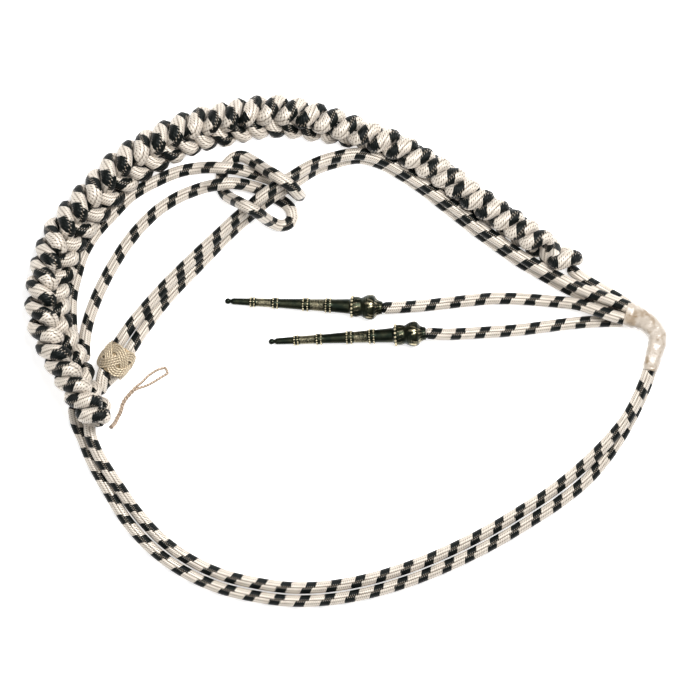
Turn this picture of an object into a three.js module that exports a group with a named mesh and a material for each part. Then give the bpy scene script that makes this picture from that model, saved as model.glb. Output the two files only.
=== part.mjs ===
// Aiguillette: braided cords, a plait, two metal tips, a slide knot and a tape wrap, lying flat.
// Millimetres, +X right, +Y up the plan, +Z up from the table that it lies on.
import * as THREE from "three";

// Driving sizes
const CORD_DIAMETER = 6.2;
const GAP = 0.4;
const CORD_SIDES = 8;

const PLAIT_PERIOD = 28.5;
const PLAIT_PERIODS = 14;
const PLAIT_HALF_WIDTH = 8.3;
const PLAIT_HALF_THICKNESS = 4.75;
const PLAIT_STRAND_WIDTH = 7;
const PLAIT_STRAND_THICKNESS = 2.7;
const PLAIT_STRAND_SIDES = 6;
const PLAIT_STEPS_A_PERIOD = 12;
const PLAIT_LIFT = 6.6;

const TIP_LENGTH = 79;
const TIP_BULB_RADIUS = 6.4;
const TIP_SIDES = 10;

const SLIDE_LENGTH = 15.5;
const SLIDE_WALL = 1.75;
const SLIDE_CLEARANCE = 0.35;
const SLIDE_SIDES = 16;

const THREAD_DIAMETER = 0.8;
const THREAD_SIDES = 6;
const EYE_WIDTH = 3.2;

const TAPE_WALL = 0.35;

// Derived sizes
const RADIUS = CORD_DIAMETER / 2;
const LAYER = CORD_DIAMETER + GAP;
const UP = new THREE.Vector3(0, 0, 1);

// Cord routes, chosen by hand. A level of 0 lies on the table and each whole level is one cord higher.
// Plait: x, y, roll in degrees from lying flat to standing on its edge, shares of the lift and of the thickness,
// and the share of the periods that is done there.
const PLAIT_ROUTE = [
  [-123.3, -37.3, 80, 1, 0.93, 0],
  [-127.3, -29.8, 76, 1, 1.02, 0.025],
  [-132.0, -22.3, 70, 1, 1, 0.047],
  [-136.8, -12.9, 58, 1, 1, 0.073],
  [-143.0, -0.7, 44, 1, 1.04, 0.107],
  [-149, 13.5, 50, 0.7, 1.15, 0.146],
  [-149.7, 28.7, 48, 0.35, 1.16, 0.184],
  [-146.5, 42.8, 40, 0.1, 1.17, 0.222],
  [-141.4, 56.5, 40, 0, 1.15, 0.260],
  [-132.5, 68.1, 40, 0, 1.04, 0.295],
  [-122.8, 78.8, 40, 0, 1, 0.327],
  [-112.8, 89.2, 40, 0, 1, 0.360],
  [-100.8, 97.3, 40, 0, 1, 0.395],
  [-88.7, 103.9, 42, 0, 1, 0.429],
  [-75.2, 109.6, 44, 0, 1, 0.466],
  [-61.3, 112.6, 46, 0, 1, 0.502],
  [-47.4, 115.7, 48, 0, 1, 0.540],
  [-33.2, 116.6, 52, 0, 1, 0.576],
  [-19.5, 114.4, 60, 0, 0.93, 0.611],
  [-5.2, 111.2, 72, 0, 0.87, 0.648],
  [9.3, 106.8, 84, 0, 0.85, 0.686],
  [23.5, 101.5, 84, 0, 0.85, 0.724],
  [36.4, 94.1, 84, 0, 0.85, 0.761],
  [49.4, 86.0, 84, 0, 0.85, 0.801],
  [60.8, 76.9, 84, 0, 0.85, 0.839],
  [73.3, 68.4, 84, 0, 0.85, 0.879],
  [85.9, 60.0, 84, 0, 0.85, 0.920],
  [98.0, 51.6, 84, 0, 0.85, 0.959],
  [110.5, 43.0, 84, 0, 0.85, 1],
];
// Paired cords: x, y, level of the lower cord, turn in degrees from side by side to stacked.
const LOOP_ROUTE = [
  [-134.0, -27.0, 0, 0],
  [-132.6, -35.8, 0, 13],
  [-131.6, -39.6, 0, 34],
  [-130.4, -43.8, 0, 52],
  [-126.3, -53.9, 0, 50],
  [-117.2, -69.4, 0, 34],
  [-107.3, -84.3, 0, 8],
  [-94.8, -97.7, 0, 0],
  [-80.0, -108.3, 0, 0],
  [-63.5, -115.8, 0, 0],
  [-45.9, -120.1, 0, 0],
  [-28.0, -122.4, 0, 0],
  [-10.1, -121.8, 0, 0],
  [7.6, -118.9, 0, 0],
  [24.9, -114.2, 0, 0],
  [41.6, -108.1, 0, 0],
  [57.9, -100.8, 0, 0],
  [73.9, -92.5, 0, 0],
  [89.3, -83.2, 0, 0],
  [104.4, -73.3, 0, 0],
  [118.4, -61.9, 0, 14],
  [130.6, -48.6, 0, 50],
  [141.0, -33.8, 0, 75],
  [148.7, -17.5, 0, 80],
  [151.7, -8.3, 0, 82],
];
const RETURN_ROUTE = [
  [-122.8, -18.1, 0, 84],
  [-122.2, -16.5, 0.15, 75],
  [-120.6, -13.5, 0.43, 52],
  [-118.3, -9.7, 0.6, 27],
  [-115.6, -5.3, 0.72, 12],
  [-113.0, -1.1, 0.83, 0],
  [-110.3, 3.3, 0.83, 0],
  [-105.1, 11.0, 0.4, 18],
  [-101.0, 16.2, 0.1, 28],
  [-97.7, 20.5, 0, 36],
  [-89.9, 29.5, 0, 43],
  [-81.7, 38.0, 0, 47],
  [-73.2, 46.4, 0, 51],
  [-64.8, 54.7, 0, 59],
  [-56.3, 62.8, 0.1, 62],
  [-50.5, 67.8, 0.25, 62],
  [-47.6, 70.2, 0.42, 62],
  [-44.3, 73.2, 0.82, 62],
  [-41.2, 75.7, 1.02, 62],
  [-37.8, 78.2, 1.05, 62],
  [-34.5, 80.3, 1.05, 62],
  [-31.5, 82.2, 1.05, 62],
  [-28.0, 84.4, 1.02, 63],
  [-24.5, 86.6, 0.75, 64],
  [-20.5, 89.2, 0.4, 66],
  [-14.0, 92.4, 0.05, 68],
  [-6.6, 94.7, 0, 68],
  [5.4, 96.8, 0, 73],
  [17.3, 93.9, 0, 73],
  [28.0, 88.1, 0, 73],
  [38.2, 81.3, 0, 73],
  [47.7, 74.2, 0, 68],
  [57.3, 66.7, 0, 68],
  [66.6, 59.4, 0, 68],
  [76.5, 52.3, 0, 68],
  [86.2, 45.5, 0, 68],
  [96.9, 39.2, 0, 68],
  [107.2, 33.5, 0, 68],
  [118.0, 28.3, 0.15, 66],
  [130.0, 23.7, 0.6, 62],
  [142.0, 18.9, 0.87, 60],
];
// Single cords: x, y, level.
const KNOT_ROUTE = [
  [-135.5, -7.5, 0],
  [-137.0, 0.0, 0],
  [-138.0, 12.0, 0],
  [-138.0, 25.0, 0],
  [-136.0, 35.0, 0],
  [-132.0, 48.0, 0],
  [-126.0, 58.0, 0],
  [-117.0, 68.0, 0],
  [-108.0, 77.0, 0],
  [-96.0, 84.0, 0],
  [-84.0, 89.0, 0],
  [-74.0, 90.8, 0.15],
  [-67.5, 91.1, 0.7],
  [-61.5, 90.8, 1.02],
  [-56.0, 90.3, 0.8],
  [-49.5, 88.6, 0.15],
  [-43.8, 86.9, 0],
  [-38.0, 84.9, 0],
  [-32.0, 82.3, 0],
  [-27.5, 79.8, 0.03],
  [-24.5, 77.3, 0.5],
  [-23.9, 77.3, 1.5],
  [-25.5, 78.7, 2.4],
  [-28.0, 81.5, 2.9],
  [-32.0, 84.5, 3.05],
  [-36.2, 87.2, 2.7],
  [-40.5, 89.7, 1.75],
  [-44.5, 92.3, 1.0],
  [-48.5, 94.8, 0.45],
  [-52.5, 96.5, 0.1],
  [-56.2, 96.0, 0],
  [-59.2, 93.6, 0],
  [-62.2, 89.5, 0],
  [-63.0, 85.5, 0],
  [-62.6, 81.0, 0],
  [-61.2, 77.8, 0.2],
  [-58.2, 75.5, 0.85],
  [-55.0, 73.9, 1.66],
  [-51.8, 72.2, 2.46],
  [-47.6, 69.9, 2.62],
  [-44.8, 68.2, 2.3],
  [-42.0, 66.2, 1.5],
  [-38.3, 63.8, 0.5],
  [-34.3, 62.1, 0.08],
  [-30.3, 62.5, 0],
  [-27.9, 64.8, 0],
  [-27.6, 67.3, 0],
  [-28.5, 70.2, 0],
  [-31.0, 72.9, 0],
  [-34.5, 75.2, 0],
  [-38.5, 77.6, 0],
  [-43.0, 79.9, 0],
  [-48.5, 81.6, 0.1],
  [-54.0, 82.8, 0.6],
  [-60.0, 83.2, 1.02],
  [-66.3, 82.2, 0.8],
  [-72.2, 80.9, 0.15],
  [-83.4, 76.7, 0],
  [-93.7, 70.4, 0],
  [-102.5, 62.3, 0],
  [-110.1, 53.1, 0],
  [-116.6, 43.1, 0],
  [-122.3, 32.6, 0],
  [-127.1, 21.5, 0],
  [-130.5, 10.1, 0],
  [-131.5, 1.0, 0],
  [-131.3, -6.5, 0],
];
const UPPER_TIP_CORD_ROUTE = [
  [18.6, 20.8, 0.55],
  [26.0, 21.1, 0.35],
  [36.0, 21.8, 0.1],
  [46.0, 22.8, 0],
  [60.0, 24.4, 0],
  [72.5, 25.5, 0],
  [84.0, 25.4, 0],
  [95.0, 24.7, 0],
  [104.0, 23.9, 0.1],
  [115.0, 22.6, 0.75],
  [128.0, 18.4, 1.5],
  [140.8, 14.4, 1.78],
];
const LOWER_TIP_CORD_ROUTE = [
  [40.4, 8.1, 0.55],
  [47.0, 7.7, 0.35],
  [55.0, 7.8, 0.1],
  [63.6, 8.3, 0],
  [75.6, 9.0, 0],
  [87.5, 10.0, 0],
  [99.4, 11.5, 0],
  [111.3, 13.0, 0],
  [124.0, 14.0, 0],
  [140.8, 14.3, 0],
];
const PLAIT_TAIL_ROUTE = [
  [114.6, 37.7, 0],
  [121.0, 33.4, 0],
  [128.5, 29.2, 0],
  [135.5, 25.2, 0],
  [142.5, 20.7, 0],
];
// Button loop: x, y, height over the table.
const BUTTON_LOOP_ROUTE = [
  [-118.2, -38.9, 11.5],
  [-117.6, -38.2, 8.0],
  [-116.2, -36.6, 3.8],
  [-115.2, -34.4, 1.2],
  [-113.5, -31.3, 0.1],
  [-112.0, -26.5, 0],
  [-109.5, -23.0, 0],
  [-106.0, -19.5, 0],
  [-101.5, -17.0, 0],
  [-98.0, -14.5, 0],
  [-94.0, -12.0, 0],
  [-90.5, -10.5, 0],
];

// Section tables, as shares of the named sizes.
// Metal tip from its ball to its neck: share of the length, share of the bulb radius.
const TIP_PROFILE = [
  [0, 0.1],
  [0.008, 0.22],
  [0.016, 0.28],
  [0.028, 0.22],
  [0.038, 0.17],
  [0.05, 0.27],
  [0.155, 0.31],
  [0.17, 0.4],
  [0.19, 0.38],
  [0.2, 0.34],
  [0.3, 0.37],
  [0.31, 0.44],
  [0.335, 0.43],
  [0.345, 0.38],
  [0.49, 0.46],
  [0.505, 0.52],
  [0.53, 0.51],
  [0.54, 0.46],
  [0.63, 0.51],
  [0.65, 0.58],
  [0.67, 0.57],
  [0.68, 0.53],
  [0.795, 0.61],
  [0.8, 0.8],
  [0.84, 0.82],
  [0.865, 0.73],
  [0.925, 1],
  [0.965, 0.64],
  [1, 0.5],
];
// Tape wrap from the cords' side to the loop's side: x, y, heading in degrees, width, height in cord layers.
const TAPE_SECTIONS = [
  [142.3, 17.2, -15, 13.2, 2.74],
  [146.0, 15.8, -20, 11.2, 2.5],
  [149.5, 13.8, -35, 10.4, 2.25],
  [153.5, 10.2, -52, 9.8, 2.1],
  [155.3, 6.0, -75, 9.9, 2.0],
  [154.6, 1.5, -98, 9.4, 2.0],
  [153.0, -3.5, -105, 8.8, 2.02],
  [151.9, -7.9, -104, 8.4, 2.05],
];
const SLIDE_PLACE = [-115.6, -5.3];
const SLIDE_PROFILE = [
  [-0.44, 0],
  [-0.5, 0.35],
  [-0.3, 0.9],
  [0, 1],
  [0.3, 0.9],
  [0.5, 0.35],
  [0.44, 0],
];

function material(color, metalness, roughness) {
  return new THREE.MeshStandardMaterial({ color, metalness, roughness });
}
const silverCord = material(0xd9cdbd, 0.45, 0.45);
const darkMetal = material(0x8a8268, 0.9, 0.35);
const goldThread = material(0xcdb98f, 0.3, 0.55);
const clearTape = material(0xe9e3d8, 0, 0.2);

const model = new THREE.Group();

function add(name, geometry, finish) {
  const mesh = new THREE.Mesh(geometry, finish);
  mesh.name = name;
  model.add(mesh);
  return mesh;
}

// A smooth route whose section keeps one flat side towards the table.
class LevelRoute extends THREE.CatmullRomCurve3 {
  computeFrenetFrames(segments) {
    const frames = { tangents: [], normals: [], binormals: [] };
    for (let i = 0; i <= segments; i++) {
      const tangent = this.getTangentAt(i / segments);
      frames.tangents.push(tangent);
      const side = this.sideAt(i / segments, tangent);
      frames.normals.push(side);
      frames.binormals.push(tangent.clone().cross(side));
    }
    return frames;
  }
  // The plan heading is taken over a short stretch, so it stays steady where the cord folds over itself.
  sideAt(u, tangent) {
    if (!this.sides) this.sides = carriedSides(this);
    const place = u * (this.sides.length - 1);
    const low = Math.floor(place);
    const high = Math.min(low + 1, this.sides.length - 1);
    const side = this.sides[low].clone().lerp(this.sides[high], place - low);
    return side.addScaledVector(tangent, -side.dot(tangent)).normalize();
  }
}

// Carries the first level side vector along the route without twist.
function carriedSides(route) {
  const count = 400;
  const sides = [];
  let side = UP.clone().cross(route.getTangentAt(0)).normalize();
  for (let i = 0; i <= count; i++) {
    const tangent = route.getTangentAt(i / count);
    side = side.clone().addScaledVector(tangent, -side.dot(tangent)).normalize();
    sides.push(side);
  }
  return sides;
}

// The flats lie a little inside the round section and the corners a little outside.
function roundSection(diameter, sides) {
  const radius = (diameter / 4) * (1 + 1 / Math.cos(Math.PI / sides));
  const corners = [];
  for (let i = 0; i < sides; i++) {
    const angle = ((i + 0.5) * 2 * Math.PI) / sides;
    corners.push(new THREE.Vector2(radius * Math.cos(angle), radius * Math.sin(angle)));
  }
  return new THREE.Shape(corners);
}

function sweep(section, route, steps) {
  return new THREE.ExtrudeGeometry(section, { steps, extrudePath: route, bevelEnabled: false });
}

function route(points) {
  const curve = new LevelRoute(points, false, "centripetal");
  curve.arcLengthDivisions = 1500;
  return curve;
}

function cord(name, points, steps) {
  add(name, sweep(roundSection(CORD_DIAMETER, CORD_SIDES), route(points), steps), silverCord);
}

function levelPoints(rows) {
  return rows.map(([x, y, level]) => new THREE.Vector3(x, y, RADIUS + level * LAYER));
}

// One cord of a pair: it keeps half a layer to its side of the middle line.
function pairPoints(rows, hand) {
  return rows.map(([x, y, level, turn], i) => {
    const before = rows[Math.max(i - 1, 0)];
    const after = rows[Math.min(i + 1, rows.length - 1)];
    const heading = Math.atan2(after[1] - before[1], after[0] - before[0]);
    const angle = THREE.MathUtils.degToRad(turn);
    const across = (hand * LAYER * Math.cos(angle)) / 2;
    const run = Math.hypot(after[0] - before[0], after[1] - before[1]);
    const steepness = Math.hypot(1, ((after[2] - before[2]) * LAYER) / run);
    const rise = ((hand + 1) * LAYER * Math.sin(angle) * steepness) / 2;
    return new THREE.Vector3(
      x - across * Math.sin(heading),
      y + across * Math.cos(heading),
      RADIUS + level * LAYER + rise,
    );
  });
}

// Place on the plait's route, counted in rows, where a share of its periods is done.
function plaitPlace(share) {
  let row = 0;
  while (row < PLAIT_ROUTE.length - 2 && PLAIT_ROUTE[row + 1][5] < share) row += 1;
  return row + (share - PLAIT_ROUTE[row][5]) / (PLAIT_ROUTE[row + 1][5] - PLAIT_ROUTE[row][5]);
}

// Three-strand plait: each strand swings from edge to edge and over and under the other two.
class PlaitStrand extends THREE.Curve {
  constructor(index, from, to) {
    super();
    this.shift = (index * 2 * Math.PI) / 3;
    this.from = from;
    this.to = to;
    this.middle = new THREE.CatmullRomCurve3(
      PLAIT_ROUTE.map(([x, y]) => new THREE.Vector3(x, y, 0)), false, "centripetal");
  }
  phase(t) {
    return this.from + (this.to - this.from) * t;
  }
  getPoint(t) {
    const phase = this.phase(t);
    const share = THREE.MathUtils.clamp((phase - this.shift) / (PLAIT_PERIODS * 2 * Math.PI), -0.02, 1.02);
    const inside = THREE.MathUtils.clamp(share, 0, 1);
    const place = plaitPlace(inside);
    const point = this.middle.getPoint(place / (PLAIT_ROUTE.length - 1));
    const along = this.middle.getTangent(place / (PLAIT_ROUTE.length - 1));
    point.addScaledVector(along, (share - inside) * PLAIT_PERIODS * PLAIT_PERIOD);
    const low = Math.min(Math.floor(place), PLAIT_ROUTE.length - 2);
    const blend = place - low;
    const column = (c) => THREE.MathUtils.lerp(PLAIT_ROUTE[low][c], PLAIT_ROUTE[low + 1][c], blend);
    const roll = THREE.MathUtils.degToRad(column(2));
    const lift = PLAIT_LIFT * column(3);
    const v = PLAIT_HALF_WIDTH * Math.sin(phase);
    const w = PLAIT_HALF_THICKNESS * column(4) * Math.sin(2 * phase);
    const outward = UP.clone().cross(along);
    point.addScaledVector(outward, v * Math.cos(roll) - w * Math.sin(roll));
    point.z = lift + this.standing(roll) + v * Math.sin(roll) + w * Math.cos(roll);
    this.edge = outward.multiplyScalar(Math.cos(roll)).addScaledVector(UP, Math.sin(roll));
    return point;
  }
  // Height of the middle line that puts the lowest strand on the table.
  standing(roll) {
    let lowest = 0;
    for (let i = 0; i < 72; i++) {
      const phase = (i * Math.PI) / 36;
      const dip = PLAIT_HALF_WIDTH * Math.sin(phase) * Math.sin(roll) +
        PLAIT_HALF_THICKNESS * Math.sin(2 * phase) * Math.cos(roll);
      lowest = Math.min(lowest, dip);
    }
    return PLAIT_STRAND_THICKNESS / 2 + 0.3 - lowest;
  }
  getPointAt(t) {
    return this.getPoint(t);
  }
  computeFrenetFrames(segments) {
    const frames = { tangents: [], normals: [], binormals: [] };
    const step = 0.02 / segments;
    for (let i = 0; i <= segments; i++) {
      const t = i / segments;
      const tangent = this.getPoint(t + step).sub(this.getPoint(t - step)).normalize();
      this.getPoint(t);
      const flat = tangent.clone().cross(this.edge).normalize();
      const rim = flat.clone().cross(tangent);
      const turn = (Math.PI / 2) * (1 - Math.cos(this.phase(t)));
      const thin = flat.multiplyScalar(Math.cos(turn)).addScaledVector(rim, Math.sin(turn));
      frames.tangents.push(tangent);
      frames.normals.push(thin);
      frames.binormals.push(tangent.clone().cross(thin));
    }
    return frames;
  }
}

function flatSection(thickness, width, sides) {
  const corners = [];
  for (let i = 0; i < sides; i++) {
    const angle = (i * 2 * Math.PI) / sides;
    corners.push(new THREE.Vector2((thickness / 2) * Math.sin(angle), (width / 2) * Math.cos(angle)));
  }
  return new THREE.Shape(corners.reverse());
}

// Each strand starts and ends on the plait's underside, where its end is hidden.
function plait() {
  const whole = 2 * Math.PI;
  const under = (-45 * Math.PI) / 180;
  const starts = [under + Math.PI / 3, under + (Math.PI * 4) / 3, under + (Math.PI * 5) / 3];
  const ends = [(-Math.PI * 5) / 6, Math.PI / 6, -Math.PI];
  const section = flatSection(PLAIT_STRAND_THICKNESS, PLAIT_STRAND_WIDTH, PLAIT_STRAND_SIDES);
  for (let index = 0; index < 3; index++) {
    const from = starts[index];
    const to = under + whole * PLAIT_PERIODS + Math.PI + ends[index];
    const steps = Math.round(((to - from) / whole) * PLAIT_STEPS_A_PERIOD);
    add(`plait_strand_${index + 1}`, sweep(section, new PlaitStrand(index, from, to), steps), silverCord);
  }
}

// A metal tip lies on the table, on a turned profile, with its neck at the start of its cord.
function tip(name, cordRoute, degrees) {
  const profile = [new THREE.Vector2(0, 0)];
  for (const [along, out] of TIP_PROFILE) {
    profile.push(new THREE.Vector2(out * TIP_BULB_RADIUS, along * TIP_LENGTH));
  }
  profile.push(new THREE.Vector2(0, TIP_LENGTH));
  const mesh = add(name, new THREE.LatheGeometry(profile, TIP_SIDES), darkMetal);
  const bulbPlace = TIP_PROFILE[26][0];
  const slope = Math.asin((TIP_BULB_RADIUS * (1 - 0.28)) / (TIP_LENGTH * (bulbPlace - 0.016)));
  const heading = THREE.MathUtils.degToRad(degrees);
  const axis = new THREE.Vector3(
    Math.cos(slope) * Math.cos(heading), Math.cos(slope) * Math.sin(heading), Math.sin(slope));
  mesh.quaternion.setFromUnitVectors(new THREE.Vector3(0, 1, 0), axis);
  mesh.position.set(cordRoute[0][0], cordRoute[0][1], 0).addScaledVector(axis, -TIP_LENGTH - 3 * GAP);
  mesh.position.z = 0.3 * TIP_BULB_RADIUS;
}

// A closed skin from rings of points, with its two end rings capped flat.
function skin(rings) {
  const around = rings[0].length;
  const corners = [];
  for (const ring of rings) for (const point of ring) corners.push(point.x, point.y, point.z);
  const faces = [];
  for (let i = 0; i + 1 < rings.length; i++) {
    for (let j = 0; j < around; j++) {
      const a = i * around + j;
      const b = i * around + ((j + 1) % around);
      faces.push(a, b, b + around, a, b + around, a + around);
    }
  }
  const last = (rings.length - 1) * around;
  for (let j = 1; j + 1 < around; j++) {
    faces.push(0, j + 1, j);
    faces.push(last, last + j, last + j + 1);
  }
  const geometry = new THREE.BufferGeometry();
  geometry.setAttribute("position", new THREE.Float32BufferAttribute(corners, 3));
  geometry.setIndex(faces);
  geometry.computeVertexNormals();
  return geometry;
}

// The tape wrap is lofted through upright sections with soft corners, standing on the table.
function tape() {
  const corner = 0.35;
  const outline = [
    [-0.5, corner], [-0.5, 1 - corner], [-0.5 + corner * 0.7, 1 - corner * 0.25],
    [-0.1, 1], [0.1, 1], [0.5 - corner * 0.7, 1 - corner * 0.25],
    [0.5, 1 - corner], [0.5, corner], [0.5 - corner * 0.7, corner * 0.25], [0.25, 0],
    [-0.25, 0], [-0.5 + corner * 0.7, corner * 0.25],
  ];
  const rings = TAPE_SECTIONS.map(([x, y, heading, width, layers]) => {
    const angle = THREE.MathUtils.degToRad(heading);
    return outline.map(([across, up]) => new THREE.Vector3(
      x - across * width * -Math.sin(angle),
      y - across * width * Math.cos(angle),
      up * (layers * LAYER + 2 * TAPE_WALL),
    ));
  });
  add("tape_wrap", skin(rings), clearTape);
}

// The slide knot is a round barrel with a round bore that the doubled cord passes through.
function slideKnot() {
  const bore = LAYER / 2 + RADIUS + SLIDE_CLEARANCE;
  const corners = [];
  const faces = [];
  const rows = SLIDE_PROFILE.length;
  for (let j = 0; j < SLIDE_SIDES; j++) {
    const angle = (j * 2 * Math.PI) / SLIDE_SIDES;
    for (const [along, out] of SLIDE_PROFILE) {
      corners.push(
        along * SLIDE_LENGTH,
        (bore + SLIDE_WALL * out) * Math.cos(angle),
        (bore + SLIDE_WALL * out) * Math.sin(angle),
      );
    }
  }
  for (let j = 0; j < SLIDE_SIDES; j++) {
    const next = (j + 1) % SLIDE_SIDES;
    for (let i = 0; i < rows; i++) {
      const a = j * rows + i;
      const b = j * rows + ((i + 1) % rows);
      const c = next * rows + ((i + 1) % rows);
      const d = next * rows + i;
      faces.push(a, b, c, a, c, d);
    }
  }
  const geometry = new THREE.BufferGeometry();
  geometry.setAttribute("position", new THREE.Float32BufferAttribute(corners, 3));
  geometry.setIndex(faces.reverse());
  geometry.computeVertexNormals();
  const mesh = add("slide_knot", geometry, goldThread);
  const [x, y] = SLIDE_PLACE;
  const [nextX, nextY] = RETURN_ROUTE[6];
  mesh.position.set(x, y, bore + SLIDE_WALL);
  mesh.rotation.z = Math.atan2(nextY - y, nextX - x);
}

// The button loop is one thread, out along one side of its route and back along the other.
function buttonLoop() {
  const middle = BUTTON_LOOP_ROUTE.map(([x, y, z]) => new THREE.Vector3(x, y, z + THREAD_DIAMETER / 2));
  const line = new THREE.CatmullRomCurve3(middle, false, "centripetal");
  const legs = [[], []];
  const count = 16;
  for (let i = 0; i <= count; i++) {
    const u = i / count;
    const along = line.getTangentAt(u);
    const side = UP.clone().cross(along).normalize();
    const open = THREE.MathUtils.smoothstep(u, 0.6, 0.85) * (1 - THREE.MathUtils.smoothstep(u, 0.9, 1.15));
    const apart = (THREAD_DIAMETER + GAP / 2) / 2 + (open * EYE_WIDTH) / 2;
    for (const leg of [0, 1]) {
      legs[leg].push(line.getPointAt(u).addScaledVector(side, leg ? -apart : apart));
    }
  }
  const points = legs[0].concat(legs[1].reverse());
  add("button_loop", sweep(roundSection(THREAD_DIAMETER, THREAD_SIDES), route(points), 32), goldThread);
}

plait();
cord("loop_cord_outer", pairPoints(LOOP_ROUTE, -1), 34);
cord("loop_cord_inner", pairPoints(LOOP_ROUTE, 1), 34);
cord("return_cord_outer", pairPoints(RETURN_ROUTE, 1), 36);
cord("return_cord_inner", pairPoints(RETURN_ROUTE, -1), 36);
cord("knot_cord", levelPoints(KNOT_ROUTE), 70);
cord("tip_cord_upper", levelPoints(UPPER_TIP_CORD_ROUTE), 13);
cord("tip_cord_lower", levelPoints(LOWER_TIP_CORD_ROUTE), 9);
cord("plait_tail", levelPoints(PLAIT_TAIL_ROUTE), 5);
tip("tip_upper", UPPER_TIP_CORD_ROUTE, -2.5);
tip("tip_lower", LOWER_TIP_CORD_ROUTE, 3);
slideKnot();
tape();
buttonLoop();

// The origin is under the middle of the whole object.
model.position.set(-0.6, 1.4, 0);

export default model;
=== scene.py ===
# Aiguillette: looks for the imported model, in its own frame. Sizes are in millimetres unless said.
import math

import bpy
import numpy as np
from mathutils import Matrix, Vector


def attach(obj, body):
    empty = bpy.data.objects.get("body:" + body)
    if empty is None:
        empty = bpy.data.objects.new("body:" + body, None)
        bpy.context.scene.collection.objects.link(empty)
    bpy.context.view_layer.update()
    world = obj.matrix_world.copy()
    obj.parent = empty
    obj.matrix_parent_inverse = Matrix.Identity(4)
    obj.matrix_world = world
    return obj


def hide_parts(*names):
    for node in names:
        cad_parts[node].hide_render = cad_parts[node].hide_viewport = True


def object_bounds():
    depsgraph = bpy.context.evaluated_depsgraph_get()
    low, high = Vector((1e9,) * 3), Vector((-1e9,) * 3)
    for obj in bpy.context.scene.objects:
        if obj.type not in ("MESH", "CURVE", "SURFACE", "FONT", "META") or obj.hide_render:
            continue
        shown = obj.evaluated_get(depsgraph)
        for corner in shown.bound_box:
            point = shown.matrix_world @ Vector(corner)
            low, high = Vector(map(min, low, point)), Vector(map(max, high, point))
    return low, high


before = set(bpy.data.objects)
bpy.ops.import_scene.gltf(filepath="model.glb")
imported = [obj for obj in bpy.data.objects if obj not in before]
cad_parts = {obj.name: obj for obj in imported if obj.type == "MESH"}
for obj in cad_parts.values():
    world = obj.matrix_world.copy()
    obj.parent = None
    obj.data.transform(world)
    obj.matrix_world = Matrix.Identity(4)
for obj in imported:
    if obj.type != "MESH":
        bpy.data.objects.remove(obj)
cad_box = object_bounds()

MM = 0.001
# The model is moved so that its origin is under its middle.
SHIFT = np.array([-0.6, 1.4, 0.0])

CORD_DIAMETER = 6.2
GAP = 0.4
RADIUS = CORD_DIAMETER / 2
LAYER = CORD_DIAMETER + GAP

PLAIT_PERIOD = 28.5
PLAIT_PERIODS = 14
PLAIT_HALF_WIDTH = 8.3
PLAIT_HALF_THICKNESS = 4.75
PLAIT_STRAND_THICKNESS = 2.7
PLAIT_LIFT = 6.6
PLAIT_FLOOR_GAP = 0.3
# The model's plait strands are flat, and the scene shows them this plump.
PLUMP_WIDTH = 8.0
PLUMP_THICKNESS = 6.8

TIP_LENGTH = 79
TIP_BULB_RADIUS = 6.4

SLIDE_LENGTH = 15.5
SLIDE_WALL = 1.75
SLIDE_CLEARANCE = 0.35
THREAD_DIAMETER = 0.8
EYE_WIDTH = 3.2
TAPE_WALL = 0.35

# Routes and tables, as in the model's source. Levels count cords, and angles are in degrees.
# The plait: x, y, roll, share of the lift, bulk, share of the strands' turns.
PLAIT_ROUTE = [
    (-123.3, -37.3, 80, 1, 0.93, 0), (-127.3, -29.8, 76, 1, 1.02, 0.025),
    (-132.0, -22.3, 70, 1, 1, 0.047), (-136.8, -12.9, 58, 1, 1, 0.073),
    (-143.0, -0.7, 44, 1, 1.04, 0.107), (-149, 13.5, 50, 0.7, 1.15, 0.146),
    (-149.7, 28.7, 48, 0.35, 1.16, 0.184), (-146.5, 42.8, 40, 0.1, 1.17, 0.222),
    (-141.4, 56.5, 40, 0, 1.15, 0.260), (-132.5, 68.1, 40, 0, 1.04, 0.295),
    (-122.8, 78.8, 40, 0, 1, 0.327), (-112.8, 89.2, 40, 0, 1, 0.360), (-100.8, 97.3, 40, 0, 1, 0.395),
    (-88.7, 103.9, 42, 0, 1, 0.429), (-75.2, 109.6, 44, 0, 1, 0.466), (-61.3, 112.6, 46, 0, 1, 0.502),
    (-47.4, 115.7, 48, 0, 1, 0.540), (-33.2, 116.6, 52, 0, 1, 0.576),
    (-19.5, 114.4, 60, 0, 0.93, 0.611), (-5.2, 111.2, 72, 0, 0.87, 0.648),
    (9.3, 106.8, 84, 0, 0.85, 0.686), (23.5, 101.5, 84, 0, 0.85, 0.724),
    (36.4, 94.1, 84, 0, 0.85, 0.761), (49.4, 86.0, 84, 0, 0.85, 0.801),
    (60.8, 76.9, 84, 0, 0.85, 0.839), (73.3, 68.4, 84, 0, 0.85, 0.879),
    (85.9, 60.0, 84, 0, 0.85, 0.920), (98.0, 51.6, 84, 0, 0.85, 0.959), (110.5, 43.0, 84, 0, 0.85, 1),
]
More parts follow.
